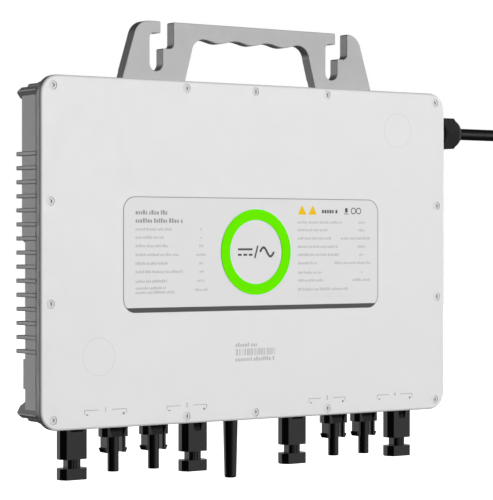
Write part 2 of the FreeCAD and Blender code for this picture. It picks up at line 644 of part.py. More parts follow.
def panel_locknuts():
    """The nuts inside the walls that hold the connectors and the output gland."""
    nuts = []
    for x in list(SOCKET_X.values()) + list(PLUG_X.values()):
        nut = hexagon(14.0, V(x, ROW_Y, -INNER_Z), Z_AXIS, 4.0, 0)
        nuts.append(cut(nut, [rod(STUB_R + 0.05, V(x, ROW_Y, -120), Z_AXIS, 20)]))
    nut = hexagon(20.6, along(INNER_X - 4.0), X_AXIS, 4.0, 0)
    nuts.append(cut(nut, [rod(8.0, along(160.0), X_AXIS, 30)]))
    return nuts


# ---- antenna ----

def antenna_rod():
    length = ANTENNA_TOP - ANTENNA_TIP
    start = V(ANTENNA_X, ROW_Y, ANTENNA_TIP)
    whip = Part.makeCone(ANTENNA_TIP_R, ANTENNA_TOP_R, length, start, Z_AXIS)
    whip = whip.makeFillet(1.4, edges_at(whip, lambda b: b.ZMax < ANTENNA_TIP + 1e-6))
    neck = rod(2.5, V(ANTENNA_X, ROW_Y, ANTENNA_TOP - 0.5), Z_AXIS, 2.3)
    return join([whip, neck])


def antenna_collar():
    start = -122.2
    height = 3.5
    ring = rod(4.7, V(ANTENNA_X, ROW_Y, start), Z_AXIS, height)
    grooves = [rod(2.9, V(ANTENNA_X, ROW_Y, start - 1), Z_AXIS, height + 2)]
    count = 20
    for k in range(count):
        angle = 2 * math.pi * k / count
        place = V(ANTENNA_X + 4.9 * math.cos(angle), ROW_Y + 4.9 * math.sin(angle), start - 1)
        grooves.append(rod(0.42, place, Z_AXIS, height + 2))
    return cut(ring, grooves)


def antenna_bulkhead():
    flange = rod(4.7, V(ANTENNA_X, ROW_Y, -118.4), Z_AXIS, 0.6)
    barrel = rod(3.1, V(ANTENNA_X, ROW_Y, -118.4), Z_AXIS, 10.4)
    outer = rod(2.5, V(ANTENNA_X, ROW_Y, -120.65), Z_AXIS, 3.0)
    return join([flange, barrel, outer])


def antenna_locknut():
    nut = hexagon(8.0, V(ANTENNA_X, ROW_Y, -INNER_Z), Z_AXIS, 2.2, 0)
    return cut(nut, [rod(3.15, V(ANTENNA_X, ROW_Y, -120), Z_AXIS, 20)])


def antenna_coax():
    x = ANTENNA_X
    route = [V(x, ROW_Y, -108.0), V(x, ROW_Y, -101.0), V(x + 2, 14.5, -93.5)]
    route += [V(x + 6, 14.5, -85.0), V(x + 6, 14.5, -78.05)]
    return tube(route, 1.8)


# ---- output gland, cable and plug ----

def along(x):
    return V(x, GLAND_Y, GLAND_Z)


def gland_body():
    thread = rod(7.95, along(168.0), X_AXIS, 15.0)
    flange = rod(11.0, along(182.0), X_AXIS, 5.0)
    stub_out = rod(10.2, along(187.0), X_AXIS, 10.5)
    bore = rod(5.2, along(160.0), X_AXIS, 50)
    mouth = rod(8.4, along(195.5), X_AXIS, 5)
    return cut(join([thread, flange, stub_out]), [bore, mouth])


def gland_seal():
    ring = rod(10.8, along(HOUSE_X), X_AXIS, 1.5)
    return cut(ring, [rod(8.0, along(170.0), X_AXIS, 30)])


def gland_clamp_ring():
    """The rubber bush and its claws, pushed along the cable by the nut."""
    ring = rod(8.0, along(198.0), X_AXIS, 7.4)
    tools = [rod(4.8, along(190), X_AXIS, 30)]
    for k in range(8):
        claw = box(197, 201, GLAND_Y - 0.5, GLAND_Y + 0.5, GLAND_Z, GLAND_Z + 12)
        claw.rotate(along(0), X_AXIS, 45 * k)
        tools.append(claw)
    return cut(ring, tools)


def gland_dome_nut():
    hex_part = hexagon(NUT_FLATS, along(NUT_START), X_AXIS, NUT_HEX_END - NUT_START, 30)
    profile = [V(NUT_START, 0, 0), V(NUT_START, 0, 12.0), V(NUT_START + 3.4, 0, 14.4)]
    profile += [V(NUT_HEX_END - 1.2, 0, 14.4), V(NUT_HEX_END, 0, 13.0), V(NUT_HEX_END, 0, 0)]
    turned = Part.Face(Part.makePolygon(profile + [profile[0]])).revolve(V(0, 0, 0), X_AXIS, 360)
    turned.translate(V(0, GLAND_Y, GLAND_Z))
    crown = V(NUT_HEX_END - 0.5, 0, 11.9)
    middle = V(NUT_HEX_END + 4.7, 0, 9.9)
    rim = V(NUT_END, 0, 6.1)
    edges = [Part.Arc(crown, middle, rim).toShape(), Part.LineSegment(rim, V(NUT_END, 0, 0)).toShape()]
    edges.append(Part.LineSegment(V(NUT_END, 0, 0), V(NUT_HEX_END - 0.5, 0, 0)).toShape())
    edges.append(Part.LineSegment(V(NUT_HEX_END - 0.5, 0, 0), crown).toShape())
    dome = Part.Face(Part.Wire(edges)).revolve(V(0, 0, 0), X_AXIS, 360)
    dome.translate(V(0, GLAND_Y, GLAND_Z))
    tools = [rod(10.5, along(180), X_AXIS, 17.8), rod(8.3, along(190), X_AXIS, 15.6)]
    tools.append(rod(4.9, along(190), X_AXIS, 30))
    return cut(join([hex_part.common(turned), dome]), tools)


# The cable runs straight out of the gland, bends down and hangs with its plug at the end.
CABLE_ROUTE = [
    V(CABLE_START, GLAND_Y, GLAND_Z),
    V(CABLE_START + 82.0, GLAND_Y, GLAND_Z),
    V(HANG_X - 4.0, 19.0, 50.0),
    V(HANG_X + 4.5, 21.0, -11.0),
    V(HANG_X, HANG_Y, -71.0),
    V(HANG_X, HANG_Y, PLUG_BODY_TOP),
]


def ac_cable():
    return tube(CABLE_ROUTE, CABLE_D, "ac_cable")


def down(z):
    return V(HANG_X, HANG_Y, z)


def ac_plug_rear_nut():
    cone = Part.makeCone(10.2, 6.6, 18.0, down(-127.0), Z_AXIS)
    skirt = rod(10.8, down(PLUG_BODY_TOP), Z_AXIS, 7.0)
    tools = [rod(4.6, down(-140), Z_AXIS, 40)]
    for k in range(12):
        flute = rod(1.1, down(-135) + X_AXIS * 11.4, Z_AXIS, 16)
        flute.rotate(down(0), Z_AXIS, 30 * k)
        tools.append(flute)
    return cut(join([cone, skirt]), tools)


def ac_plug_body():
    barrel = rod(10.5, down(-150.5), Z_AXIS, 21.5)
    nose = rod(8.6, down(PLUG_END + 1.0), Z_AXIS, 24.5)
    flange = rod(11.6, down(-150.5), Z_AXIS, 2.0)
    wells = [rod(6.9, down(PLUG_END), Z_AXIS, 12.0)]
    for k in range(3):
        well = rod(1.3, down(-170) + X_AXIS * 3.6, Z_AXIS, 30)
        well.rotate(down(0), Z_AXIS, 90 + 120 * k)
        wells.append(well)
    return cut(join([barrel, nose, flange]), wells)


def ac_plug_contacts():
    pins = []
    for k in range(3):
        pin = rod(1.2, down(-173.0) + X_AXIS * 3.6, Z_AXIS, 30)
        pin = pin.makeFillet(0.6, edges_at(pin, lambda b: b.ZMax < -172.9))
        pin.rotate(down(0), Z_AXIS, 90 + 120 * k)
        pins.append(pin)
    return pins


def ac_plug_lock_ring():
    """The knurled coupling ring, with two bayonet slots at its lower edge."""
    ring = rod(12.8, down(PLUG_END), Z_AXIS, 25.2)
    ring = ring.makeFillet(0.8, edges_at(ring, lambda b: b.ZLength < 1e-6 and b.XLength > 20))
    tools = [rod(9.6, down(PLUG_END - 1), Z_AXIS, 27.5)]
    for k in range(18):
        groove = rod(0.8, down(-168) + X_AXIS * 13.1, Z_AXIS, 14)
        groove.rotate(down(0), Z_AXIS, 20 * k)
        tools.append(groove)
    for side in (-1, 1):
        x0, x1 = sorted((HANG_X + side * 8.0, HANG_X + side * 14.0))
        tools.append(box(x0, x1, HANG_Y - 1.6, HANG_Y + 1.6, PLUG_END - 1, PLUG_END + 5.0))
    return cut(ring, tools)


# ---- electronics ----

def main_board():
    x0, x1 = BOARD_X
    z0, z1 = BOARD_Z
    board = box(x0, x1, BOARD_Y, BOARD_Y + BOARD_T, z0, z1)
    tools = [box(148.0, 170.0, 0, 40, 76.0, 120.0)]
    for x, z in BOARD_SCREWS:
        tools.append(rod(1.7, V(x, 0, z), Y_AXIS, 40))
    for x in TRAFO_X:
        tools.append(box(x - 23.5, x + 23.5, 0, 40, TRAFO_Z - 24.5, TRAFO_Z + 24.5))
    return cut(board, tools)


def board_screws():
    screws = []
    for x, z in BOARD_SCREWS:
        head = rod(2.9, V(x, BOARD_Y - 2.0, z), Y_AXIS, 2.0)
        shank = rod(1.45, V(x, BOARD_Y, z), Y_AXIS, 4.6)
        drive = hexagon(2.0, V(x, BOARD_Y - 3, z), Y_AXIS, 2.2, 0)
        screws.append(cut(join([head, shank]), [drive]))
    return screws


def transformer_cores():
    cores = []
    for x in TRAFO_X:
        core = box(x - 21, x + 21, 8.0, FLOOR_HIGH - 0.5, TRAFO_Z - 16, TRAFO_Z + 16)
        windows = []
        for side in (-1, 1):
            w0, w1 = sorted((x + side * 7.0, x + side * 15.5))
            windows.append(box(w0, w1, 12.0, 21.4, TRAFO_Z - 20, TRAFO_Z + 20))
        cores.append(cut(core, windows))
    return cores


def transformer_windings():
    windings = []
    for x in TRAFO_X:
        coil = box(x - 15.4, x + 15.4, 12.1, 21.3, TRAFO_Z - 23, TRAFO_Z + 23)
        coil = coil.makeFillet(5.0, edges_at(coil, lambda b: b.YLength > 9))
        leg = box(x - 7.1, x + 7.1, 0, 40, TRAFO_Z - 16.1, TRAFO_Z + 16.1)
        windings.append(cut(coil, [leg]))
    return windings


def bus_capacitors():
    cans = []
    for k in range(9):
        x = -150.0 + 15.5 * k
        can = rod(6.4, V(x, BOARD_Y - 6.5, 8.0), Z_AXIS, 24.0)
        can = can.makeFillet(0.8, edges_at(can, lambda b: b.ZLength < 1e-6))
        groove = rod(7.5, V(x, BOARD_Y - 6.5, 11.0), Z_AXIS, 1.2)
        groove = cut(groove, [rod(5.8, V(x, BOARD_Y - 6.5, 10.0), Z_AXIS, 4)])
        cans.append(cut(can, [groove]))
    return cans


def filter_capacitors():
    blocks = []
    for z in (14.0, 32.0, 50.0):
        block = box(118.0, 144.0, 5.5, BOARD_Y, z, z + 14.0)
        blocks.append(block.makeFillet(1.2, edges_at(block, lambda b: b.YLength > 5)))
    return blocks


def choke_core():
    centre = V(112.0, 6.0, -12.0)
    flanges = [rod(13.5, centre, Y_AXIS, 2.0), rod(13.5, centre + V(0, 9.6, 0), Y_AXIS, 2.0)]
    return join(flanges + [rod(6.0, centre, Y_AXIS, 11.6)])


def choke_winding():
    centre = V(112.0, 8.1, -12.0)
    ring = rod(12.4, centre, Y_AXIS, 7.4)
    return cut(ring, [rod(6.1, centre - Y_AXIS, Y_AXIS, 10)])


def ac_relays():
    relays = []
    for k in range(2):
        relay = box(114.0 + 15.0 * k, 126.5 + 15.0 * k, 5.0, BOARD_Y, -58.0, -30.0)
        relays.append(relay.makeFillet(0.8, edges_at(relay, lambda b: b.YLength > 5)))
    return relays


def transistor_places():
    return [(-138.0 + 32.0 * k, z) for k in range(8) for z in (-60.0, -18.0)]


def power_transistors():
    packs = []
    for x, z in transistor_places():
        pack = box(x - 8, x + 8, BOARD_Y + BOARD_T, BOARD_Y + BOARD_T + 1.6, z - 10, z + 10)
        packs.append(pack.makeChamfer(0.4, edges_at(pack, lambda b: b.YMin > BOARD_Y + BOARD_T + 1.5)))
    return packs


def thermal_pads():
    pads = []
    for x, z in transistor_places():
        pads.append(box(x - 8.5, x + 8.5, BOARD_Y + BOARD_T + 1.6, FLOOR_LOW, z - 10.5, z + 10.5))
    for x in TRAFO_X:
        pads.append(box(x - 20, x + 20, FLOOR_HIGH - 0.5, FLOOR_HIGH, TRAFO_Z - 15, TRAFO_Z + 15))
    return pads


def radio_module():
    can = box(-17.0, 7.0, BOARD_Y - 5.0, BOARD_Y, -78.0, -60.0)
    return can.makeFillet(0.6, edges_at(can, lambda b: b.YMax < BOARD_Y - 4.9))


def control_chips():
    chips = []
    for x, z, half in ((-75.0, -20.0, 8.0), (-20.0, -20.0, 10.0), (40.0, -25.0, 6.0)):
        chips.append(box(x - half, x + half, BOARD_Y - 1.6, BOARD_Y, z - half, z + half))
    return chips


def terminal_blocks():
    blocks = []
    for x in (-130.2, -62.0, 64.9, 130.4):
        half = 26.0 if abs(x - 64.9) < 0.1 else 23.0
        block = box(x - half, x + half, 8.5, BOARD_Y, -81.0, -69.0)
        blocks.append(block.makeFillet(0.8, edges_at(block, lambda b: b.YLength > 5)))
    blocks.append(box(128.0, 142.0, 8.5, BOARD_Y, 81.0, 104.0))
    return blocks


def dc_inner_leads():
    leads = []
    for x in list(SOCKET_X.values()) + list(PLUG_X.values()):
        route = [V(x, ROW_Y, TAIL_TOP), V(x, ROW_Y, -97.5), V(x, 13.6, -89.5), V(x, 13.6, -81.0)]
        leads.append(tube(route, 3.4))
    return leads


def ac_inner_leads():
    leads = []
    starts = ((-2.3, 0.0, 0.0), (1.15, 2.0, 7.0), (1.15, -2.0, -7.0))
    for dy, dz, spread in starts:
        y = GLAND_Y + dy
        z = GLAND_Z + dz
        route = [V(CABLE_START, y, z), V(166.0, y, z)]
        route += [V(152.0, 13.0, GLAND_Z + spread), V(142.0, 13.0, GLAND_Z + spread)]
        leads.append(tube(route, 2.8))
    return leads


# ---- output ----

def nodes():
    parts = {
        "front_cover": front_cover(),
        "cover_screws": cover_screws(),
        "cover_gasket": cover_gasket(),
        "label_film": label_film(),
        "green_ring": green_ring(),
        "heat_sink": heat_sink(),
        "earth_screw": earth_screw(),
        "vent_plug": vent_plug(),
        "hanger_bracket": hanger_bracket(),
        "hanger_screws": hanger_screws(),
        "connector_seals": connector_seals(),
        "panel_locknuts": panel_locknuts(),
        "pin_contacts": [pin_contact(x) for x in SOCKET_X.values()],
        "socket_contacts": [socket_contact(x) for x in PLUG_X.values()],
        "antenna_rod": antenna_rod(),
        "antenna_collar": antenna_collar(),
        "antenna_bulkhead": antenna_bulkhead(),
        "antenna_locknut": antenna_locknut(),
        "antenna_coax": antenna_coax(),
        "gland_body": gland_body(),
        "gland_seal": gland_seal(),
        "gland_clamp_ring": gland_clamp_ring(),
        "gland_dome_nut": gland_dome_nut(),
        "ac_cable": ac_cable(),
        "ac_plug_rear_nut": ac_plug_rear_nut(),
        "ac_plug_body": ac_plug_body(),
        "ac_plug_contacts": ac_plug_contacts(),
        "ac_plug_lock_ring": ac_plug_lock_ring(),
        "main_board": main_board(),
        "board_screws": board_screws(),
        "transformer_cores": transformer_cores(),
        "transformer_windings": transformer_windings(),
        "bus_capacitors": bus_capacitors(),
        "filter_capacitors": filter_capacitors(),
        "choke_core": choke_core(),
        "choke_winding": choke_winding(),
        "ac_relays": ac_relays(),
        "power_transistors": power_transistors(),
        "thermal_pads": thermal_pads(),
        "radio_module": radio_module(),
        "control_chips": control_chips(),
        "terminal_blocks": terminal_blocks(),
        "dc_inner_leads": dc_inner_leads(),
        "ac_inner_leads": ac_inner_leads(),
    }
    for name, x in SOCKET_X.items():
        parts[name + "_socket"] = socket_shell(name, x)
    for name, x in PLUG_X.items():
        parts[name + "_plug"] = plug_shell(x)
        parts[name + "_latch_left"] = snap_arm(x, -1)
        parts[name + "_latch_right"] = snap_arm(x, 1)
    return parts


def write():
    os.makedirs("parts", exist_ok=True)
    to_origin = V(SLOT_SHIFT, -HANG_BACK, -SEAT_Z)
    for name, made in nodes().items():
        solids = made if isinstance(made, list) else [made]
        solids = [s for shape in solids for s in shape.Solids]
        shape = solids[0] if len(solids) == 1 else Part.makeCompound(solids)
        shape.translate(to_origin)
        valid = "" if shape.isValid() else "  NOT VALID"
        print(f"{name}: {len(solids)} solids, {shape.Volume / 1000:.2f} cm3{valid}")
        shape.exportStep(f"parts/{name}.step")


write()
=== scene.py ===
"""Looks of a wall-hung micro inverter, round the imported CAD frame. Metres, +Z up, the front faces -Y."""
import json
import math
import random

import bmesh
import bpy
from mathutils import Euler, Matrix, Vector


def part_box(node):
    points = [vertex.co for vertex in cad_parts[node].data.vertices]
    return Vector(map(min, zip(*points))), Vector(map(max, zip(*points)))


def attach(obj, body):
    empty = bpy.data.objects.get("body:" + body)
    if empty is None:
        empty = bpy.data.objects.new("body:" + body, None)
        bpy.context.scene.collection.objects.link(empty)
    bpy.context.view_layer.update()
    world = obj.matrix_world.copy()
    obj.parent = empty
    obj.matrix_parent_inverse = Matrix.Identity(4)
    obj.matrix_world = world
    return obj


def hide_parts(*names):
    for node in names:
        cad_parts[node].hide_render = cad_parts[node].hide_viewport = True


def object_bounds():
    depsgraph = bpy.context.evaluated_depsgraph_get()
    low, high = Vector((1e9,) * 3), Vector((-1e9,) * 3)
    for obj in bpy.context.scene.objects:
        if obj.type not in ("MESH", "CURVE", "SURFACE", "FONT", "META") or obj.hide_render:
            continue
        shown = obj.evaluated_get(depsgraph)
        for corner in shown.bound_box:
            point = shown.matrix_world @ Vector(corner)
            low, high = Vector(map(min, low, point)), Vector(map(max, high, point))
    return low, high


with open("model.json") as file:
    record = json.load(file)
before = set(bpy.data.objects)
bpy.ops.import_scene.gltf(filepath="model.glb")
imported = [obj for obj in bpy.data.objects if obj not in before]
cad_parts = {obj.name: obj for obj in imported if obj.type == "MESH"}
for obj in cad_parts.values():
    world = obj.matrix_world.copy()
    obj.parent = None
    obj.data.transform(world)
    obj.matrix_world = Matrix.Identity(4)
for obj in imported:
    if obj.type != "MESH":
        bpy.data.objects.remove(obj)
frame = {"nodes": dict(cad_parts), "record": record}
cad_low, cad_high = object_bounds()
NODES = frame["nodes"]
MM = 0.001

# The middle of the cover's front face, from which the layout on the cover is measured.
cover_low, cover_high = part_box("front_cover")
COVER_X = (cover_low.x + cover_high.x) / 2
COVER_Z = (cover_low.z + cover_high.z) / 2
COVER_Y = cover_low.y
label_low, label_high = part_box("label_film")
LABEL_Y = label_low.y

# ---- camera ----

EYE = (-0.9284, -1.2891, 0.0083)
TURN_DEG = 35.51
LENS_MM = 155.78
SHIFT_Y = -0.0187

lens = bpy.data.cameras.new("camera")
lens.lens = LENS_MM
lens.sensor_width = 36.0
lens.shift_y = SHIFT_Y
lens.clip_start = 0.05
lens.clip_end = 60.0
camera = bpy.data.objects.new("camera", lens)
camera.location = (COVER_X + EYE[0], COVER_Y + EYE[1], COVER_Z + EYE[2])
camera.rotation_euler = Euler((math.radians(90), 0, math.radians(-TURN_DEG)))
bpy.context.scene.collection.objects.link(camera)
bpy.context.scene.camera = camera


# ---- materials ----

# Noise stays mostly between these levels, which are stretched to the whole range.
NOISE_LOW = 0.3
NOISE_HIGH = 0.7
SPECKS_PER_CLOUD = 9
GRAIN_STRENGTH = 0.6

def linear(value):
    """A screen grey or channel from 0 to 255 as linear light."""
    c = value / 255
    return c / 12.92 if c <= 0.04045 else ((c + 0.055) / 1.055) ** 2.4


def rgb(r, g, b):
    return (linear(r), linear(g), linear(b), 1.0)


def noise(tree, coords, scale, detail=3.0):
    node = tree.nodes.new("ShaderNodeTexNoise")
    node.inputs["Scale"].default_value = scale
    node.inputs["Detail"].default_value = detail
    tree.links.new(coords, node.inputs["Vector"])
    return node.outputs["Fac"]


def ranged(tree, value, low, high):
    node = tree.nodes.new("ShaderNodeMapRange")
    node.inputs["From Min"].default_value = NOISE_LOW
    node.inputs["From Max"].default_value = NOISE_HIGH
    node.inputs["To Min"].default_value = low
    node.inputs["To Max"].default_value = high
    tree.links.new(value, node.inputs["Value"])
    return node.outputs["Result"]


def material(name, color, rough, metal=0.0, mottle=0.05, mottle_scale=30.0, grain=None, grain_scale=900.0,
             specular=0.5, rough_spread=0.06, glow=0.0, stretch=(1, 1, 1)):
    """A procedural finish: mottled colour, uneven roughness and a fine grain, grain metres deep."""
    made = bpy.data.materials.new(name)
    made.use_nodes = True
    tree = made.node_tree
    shader = tree.nodes["Principled BSDF"]
    shader.inputs["Metallic"].default_value = metal
    shader.inputs["Specular IOR Level"].default_value = specular
    place = tree.nodes.new("ShaderNodeTexCoord").outputs["Object"]
    if stretch != (1, 1, 1):
        mapping = tree.nodes.new("ShaderNodeMapping")
        mapping.inputs["Scale"].default_value = stretch
        tree.links.new(place, mapping.inputs["Vector"])
        place = mapping.outputs["Vector"]
    blend = tree.nodes.new("ShaderNodeMix")
    blend.data_type = "RGBA"
    blend.inputs["A"].default_value = [c * (1 - mottle) for c in color[:3]] + [1]
    blend.inputs["B"].default_value = [min(1, c * (1 + mottle)) for c in color[:3]] + [1]
    cloud = noise(tree, place, mottle_scale)
    tree.links.new(ranged(tree, cloud, 0, 1), blend.inputs["Factor"])
    tree.links.new(blend.outputs["Result"], shader.inputs["Base Color"])
    speck = noise(tree, place, mottle_scale * SPECKS_PER_CLOUD)
    tree.links.new(ranged(tree, speck, max(0.02, rough - rough_spread), rough + rough_spread),
                   shader.inputs["Roughness"])
    if glow:
        shader.inputs["Emission Color"].default_value = color
        shader.inputs["Emission Strength"].default_value = glow
    if grain:
        bump = tree.nodes.new("ShaderNodeBump")
        bump.inputs["Distance"].default_value = grain
        bump.inputs["Strength"].default_value = GRAIN_STRENGTH
        tree.links.new(noise(tree, place, grain_scale, 2.0), bump.inputs["Height"])
        tree.links.new(bump.outputs["Normal"], shader.inputs["Normal"])
    return made


COVER_GREY = rgb(228, 228, 228)
PAINT_METAL = 0.2
FINISH = {
    "cover_paint": material("cover_paint", COVER_GREY, 0.42, metal=PAINT_METAL, mottle=0.008,
                            mottle_scale=14, grain=0.00006, grain_scale=750, specular=0.35),
    "cover_screw_steel": material("cover_screw_paint", rgb(238, 238, 238), 0.5, metal=0.45, mottle=0.02,
                                  grain=0.00003),
    "label_print": material("label_film", rgb(214, 214, 214), 0.38, mottle=0.006, mottle_scale=20,
                            grain=0.00001, grain_scale=1500, specular=0.35),
    "ring_green": material("ring_green", rgb(100, 227, 0), 0.6, mottle=0.01, specular=0.05, grain=0.00001),
    "cast_grey": material("cast_grey", COVER_GREY, 0.33, metal=PAINT_METAL, mottle=0.015, mottle_scale=40,
                          grain=0.00006, grain_scale=620, specular=0.25, rough_spread=0.03),
    "hanger_grey": material("hanger_grey", rgb(182, 182, 182), 0.34, metal=0.315, mottle=0.03,
                            mottle_scale=60, grain=0.00008, grain_scale=700, specular=0.25),
    "stainless": material("stainless", rgb(190, 190, 188), 0.28, metal=1.0, mottle=0.06, grain=0.00002,
                          stretch=(1, 1, 8)),
    "black_plastic": material("black_plastic", rgb(9, 9, 10), 0.15, mottle=0.12, mottle_scale=80,
                              grain=0.000012, grain_scale=1100, rough_spread=0.03),
    "antenna_black": material("antenna_black", rgb(10, 10, 11), 0.15, mottle=0.08, grain=0.00001,
                              grain_scale=1300),
    "gland_nylon": material("gland_nylon", rgb(42, 42, 43), 0.4, mottle=0.08, mottle_scale=70, grain=0.00002,
                            grain_scale=1200, specular=0.3),
    "seal_rubber": material("seal_rubber", rgb(38, 38, 38), 0.7, mottle=0.1, grain=0.00006),
    "cable_jacket": material("cable_jacket", rgb(16, 16, 17), 0.38, mottle=0.08, mottle_scale=90,
                             grain=0.00002, grain_scale=1400, specular=1.0),
    "tinned_contact": material("tinned_contact", rgb(205, 203, 190), 0.25, metal=1.0, mottle=0.05,
                               grain=0.00001),
    "nickel": material("nickel", rgb(190, 186, 176), 0.22, metal=1.0, mottle=0.04, grain=0.00001),
    "circuit_board": material("circuit_board", rgb(18, 84, 48), 0.35, mottle=0.35, mottle_scale=160,
                              grain=0.00006, grain_scale=500),
    "ferrite": material("ferrite", rgb(58, 58, 62), 0.6, mottle=0.15, mottle_scale=200, grain=0.00005),
    "copper_winding": material("copper_winding", rgb(190, 112, 52), 0.3, metal=0.7, mottle=0.2,
                               mottle_scale=120, stretch=(1, 1, 6), grain=0.0001),
    "can_aluminium": material("can_aluminium", rgb(70, 74, 96), 0.35, mottle=0.08, grain=0.00002),
    "film_block": material("film_block", rgb(214, 178, 84), 0.5, mottle=0.06, grain=0.00003),
    "relay_case": material("relay_case", rgb(52, 74, 120), 0.35, mottle=0.05, grain=0.00002),
    "chip_epoxy": material("chip_epoxy", rgb(44, 44, 46), 0.55, mottle=0.1, grain=0.00003),
    "thermal_silicone": material("thermal_silicone", rgb(148, 168, 190), 0.8, mottle=0.08, grain=0.00004),
    "shield_can": material("shield_can", rgb(196, 196, 198), 0.3, metal=1.0, mottle=0.05, grain=0.00001),
    "terminal_green": material("terminal_green", rgb(60, 140, 84), 0.45, mottle=0.05, grain=0.00003),
    "lead_insulation": material("lead_insulation", rgb(160, 44, 38), 0.45, mottle=0.05, grain=0.00002),
    "vent_grey": material("vent_grey", rgb(52, 52, 54), 0.5, mottle=0.1, grain=0.00004),
}
INK_DARK = material("ink_dark", rgb(80, 80, 80), 0.5, mottle=0.02, specular=0.2)
INK_LINE = material("ink_line", rgb(138, 138, 138), 0.5, mottle=0.02, specular=0.2)
INK_FINE = material("ink_fine", rgb(170, 170, 170), 0.5, mottle=0.02, specular=0.2)
INK_TEXT = material("ink_text", rgb(184, 184, 184), 0.5, mottle=0.03, specular=0.2)
INK_FAINT = material("ink_faint", rgb(212, 212, 212), 0.5, mottle=0.02, specular=0.2)
INK_HEAD = material("ink_head", rgb(150, 150, 150), 0.5, mottle=0.03, specular=0.2)
INK_AMBER = material("ink_amber", rgb(226, 182, 20), 0.45, mottle=0.03, specular=0.2)

for row in frame["record"]["subparts"]:
    node = NODES[row["node"]]
    node.data.materials.clear()
    node.data.materials.append(FINISH[row["material_slot"]])
for name in ("gland_dome_nut", "gland_body", "gland_clamp_ring"):
    NODES[name].data.materials[0] = FINISH["gland_nylon"]


# ---- output cable ----

CABLE_D = 0.009
# The first run lies straight out past the gland, so it has one point more than the CAD route.
CABLE_POINTS = [
    (0.20665, 0.003, -0.042),
    (0.26700, 0.003, -0.042),
    (0.28865, 0.003, -0.042),
    (0.33865, 0.005, -0.085),
    (0.34715, 0.007, -0.146),
    (0.34265, 0.006, -0.206),
    (0.34265, 0.006, -0.264),
]
line = bpy.data.curves.new("output_cable", "CURVE")
line.dimensions = "3D"
line.bevel_depth = CABLE_D / 2
line.bevel_resolution = 8
line.resolution_u = 24
line.use_fill_caps = True
spline = line.splines.new("NURBS")
spline.points.add(len(CABLE_POINTS) - 1)
for point, place in zip(spline.points, CABLE_POINTS):
    point.co = (*place, 1.0)
spline.order_u = 3
spline.use_endpoint_u = True
line.materials.append(FINISH["cable_jacket"])
cable = bpy.data.objects.new("output_cable", line)
bpy.context.scene.collection.objects.link(cable)
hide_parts("ac_cable")
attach(cable, "housing")


# ---- printed marks on the cover and the label ----

INK = 0.00003
SINK = 0.00002


class Print:
    """Flat marks, a hair thick, on the cover's or the label's front face, laid out in mm."""

    def __init__(self, name, ink, y, slot):
        self.name, self.ink, self.y, self.slot = name, ink, y, slot
        self.mesh = bmesh.new()

    def place(self, x, z, lift):
        return (COVER_X + x * MM, self.y - lift, COVER_Z + z * MM)

    def polygon(self, points):
        """A flat piece with this outline, its points given in order as seen from the front."""
        front = [self.mesh.verts.new(self.place(x, z, INK)) for x, z in points]
        back = [self.mesh.verts.new(self.place(x, z, -SINK)) for x, z in points]
        self.mesh.faces.new(front)
        self.mesh.faces.new(back[::-1])
        for k in range(len(points)):
            n = (k + 1) % len(points)
            self.mesh.faces.new((front[n], front[k], back[k], back[n]))

    def bar(self, x0, x1, z0, z1):
        self.polygon([(x0, z0), (x1, z0), (x1, z1), (x0, z1)])

    def band(self, outer, inner):
        """The closed strip between two outlines that have as many points."""
        rows = []
        for outline in (outer, inner):
            for lift in (INK, -SINK):
                rows.append([self.mesh.verts.new(self.place(x, z, lift)) for x, z in outline])
        outer_front, outer_back, inner_front, inner_back = rows
        for k in range(len(outer)):
            n = (k + 1) % len(outer)
            self.mesh.faces.new((outer_front[k], outer_front[n], inner_front[n], inner_front[k]))
            self.mesh.faces.new((outer_back[n], outer_back[k], inner_back[k], inner_back[n]))
            self.mesh.faces.new((outer_front[n], outer_front[k], outer_back[k], outer_back[n]))
            self.mesh.faces.new((inner_front[k], inner_front[n], inner_back[n], inner_back[k]))

    def done(self):
        bmesh.ops.recalc_face_normals(self.mesh, faces=self.mesh.faces)
        data = bpy.data.meshes.new(self.name)
        self.mesh.to_mesh(data)
        self.mesh.free()
        data.materials.append(self.ink)
        piece = bpy.data.objects.new(self.name, data)
        bpy.context.scene.collection.objects.link(piece)
        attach(piece, "housing")
        return piece


def circle(x, z, radius, count=48):
    turns = [2 * math.pi * k / count for k in range(count)]
    return [(x + radius * math.cos(t), z + radius * math.sin(t)) for t in turns]


def rounded(x0, x1, z0, z1, radius, count=10):
    corners = [(x1 - radius, z1 - radius, 0), (x0 + radius, z1 - radius, 90),
               (x0 + radius, z0 + radius, 180), (x1 - radius, z0 + radius, 270)]
    points = []
    for cx, cz, start in corners:
        for k in range(count + 1):
            t = math.radians(start + 90 * k / count)
            points.append((cx + radius * math.cos(t), cz + radius * math.sin(t)))
    return points


def ribbon(points, width):
    """The outline of a line of some width through points."""
    left, right = [], []
    for k, (x, z) in enumerate(points):
        x0, z0 = points[max(k - 1, 0)]
        x1, z1 = points[min(k + 1, len(points) - 1)]
        run = math.hypot(x1 - x0, z1 - z0)
        nx, nz = -(z1 - z0) / run * width / 2, (x1 - x0) / run * width / 2
        left.append((x + nx, z + nz))
        right.append((x - nx, z - nz))
    return left, right


def stroke(sheet, points, width):
    left, right = ribbon(points, width)
    for k in range(len(points) - 1):
        sheet.polygon([right[k], right[k + 1], left[k + 1], left[k]])


dice = random.Random(7)
# Blocks that stand for letters, as shares of the line's height, and the share of them that are tall.
NARROW, WIDE = 0.34, 0.6
LOW_BLOCK = 0.72
BLOCK_GAP = 0.2
WORD_GAP = 0.35
TALL_SHARE = 0.35


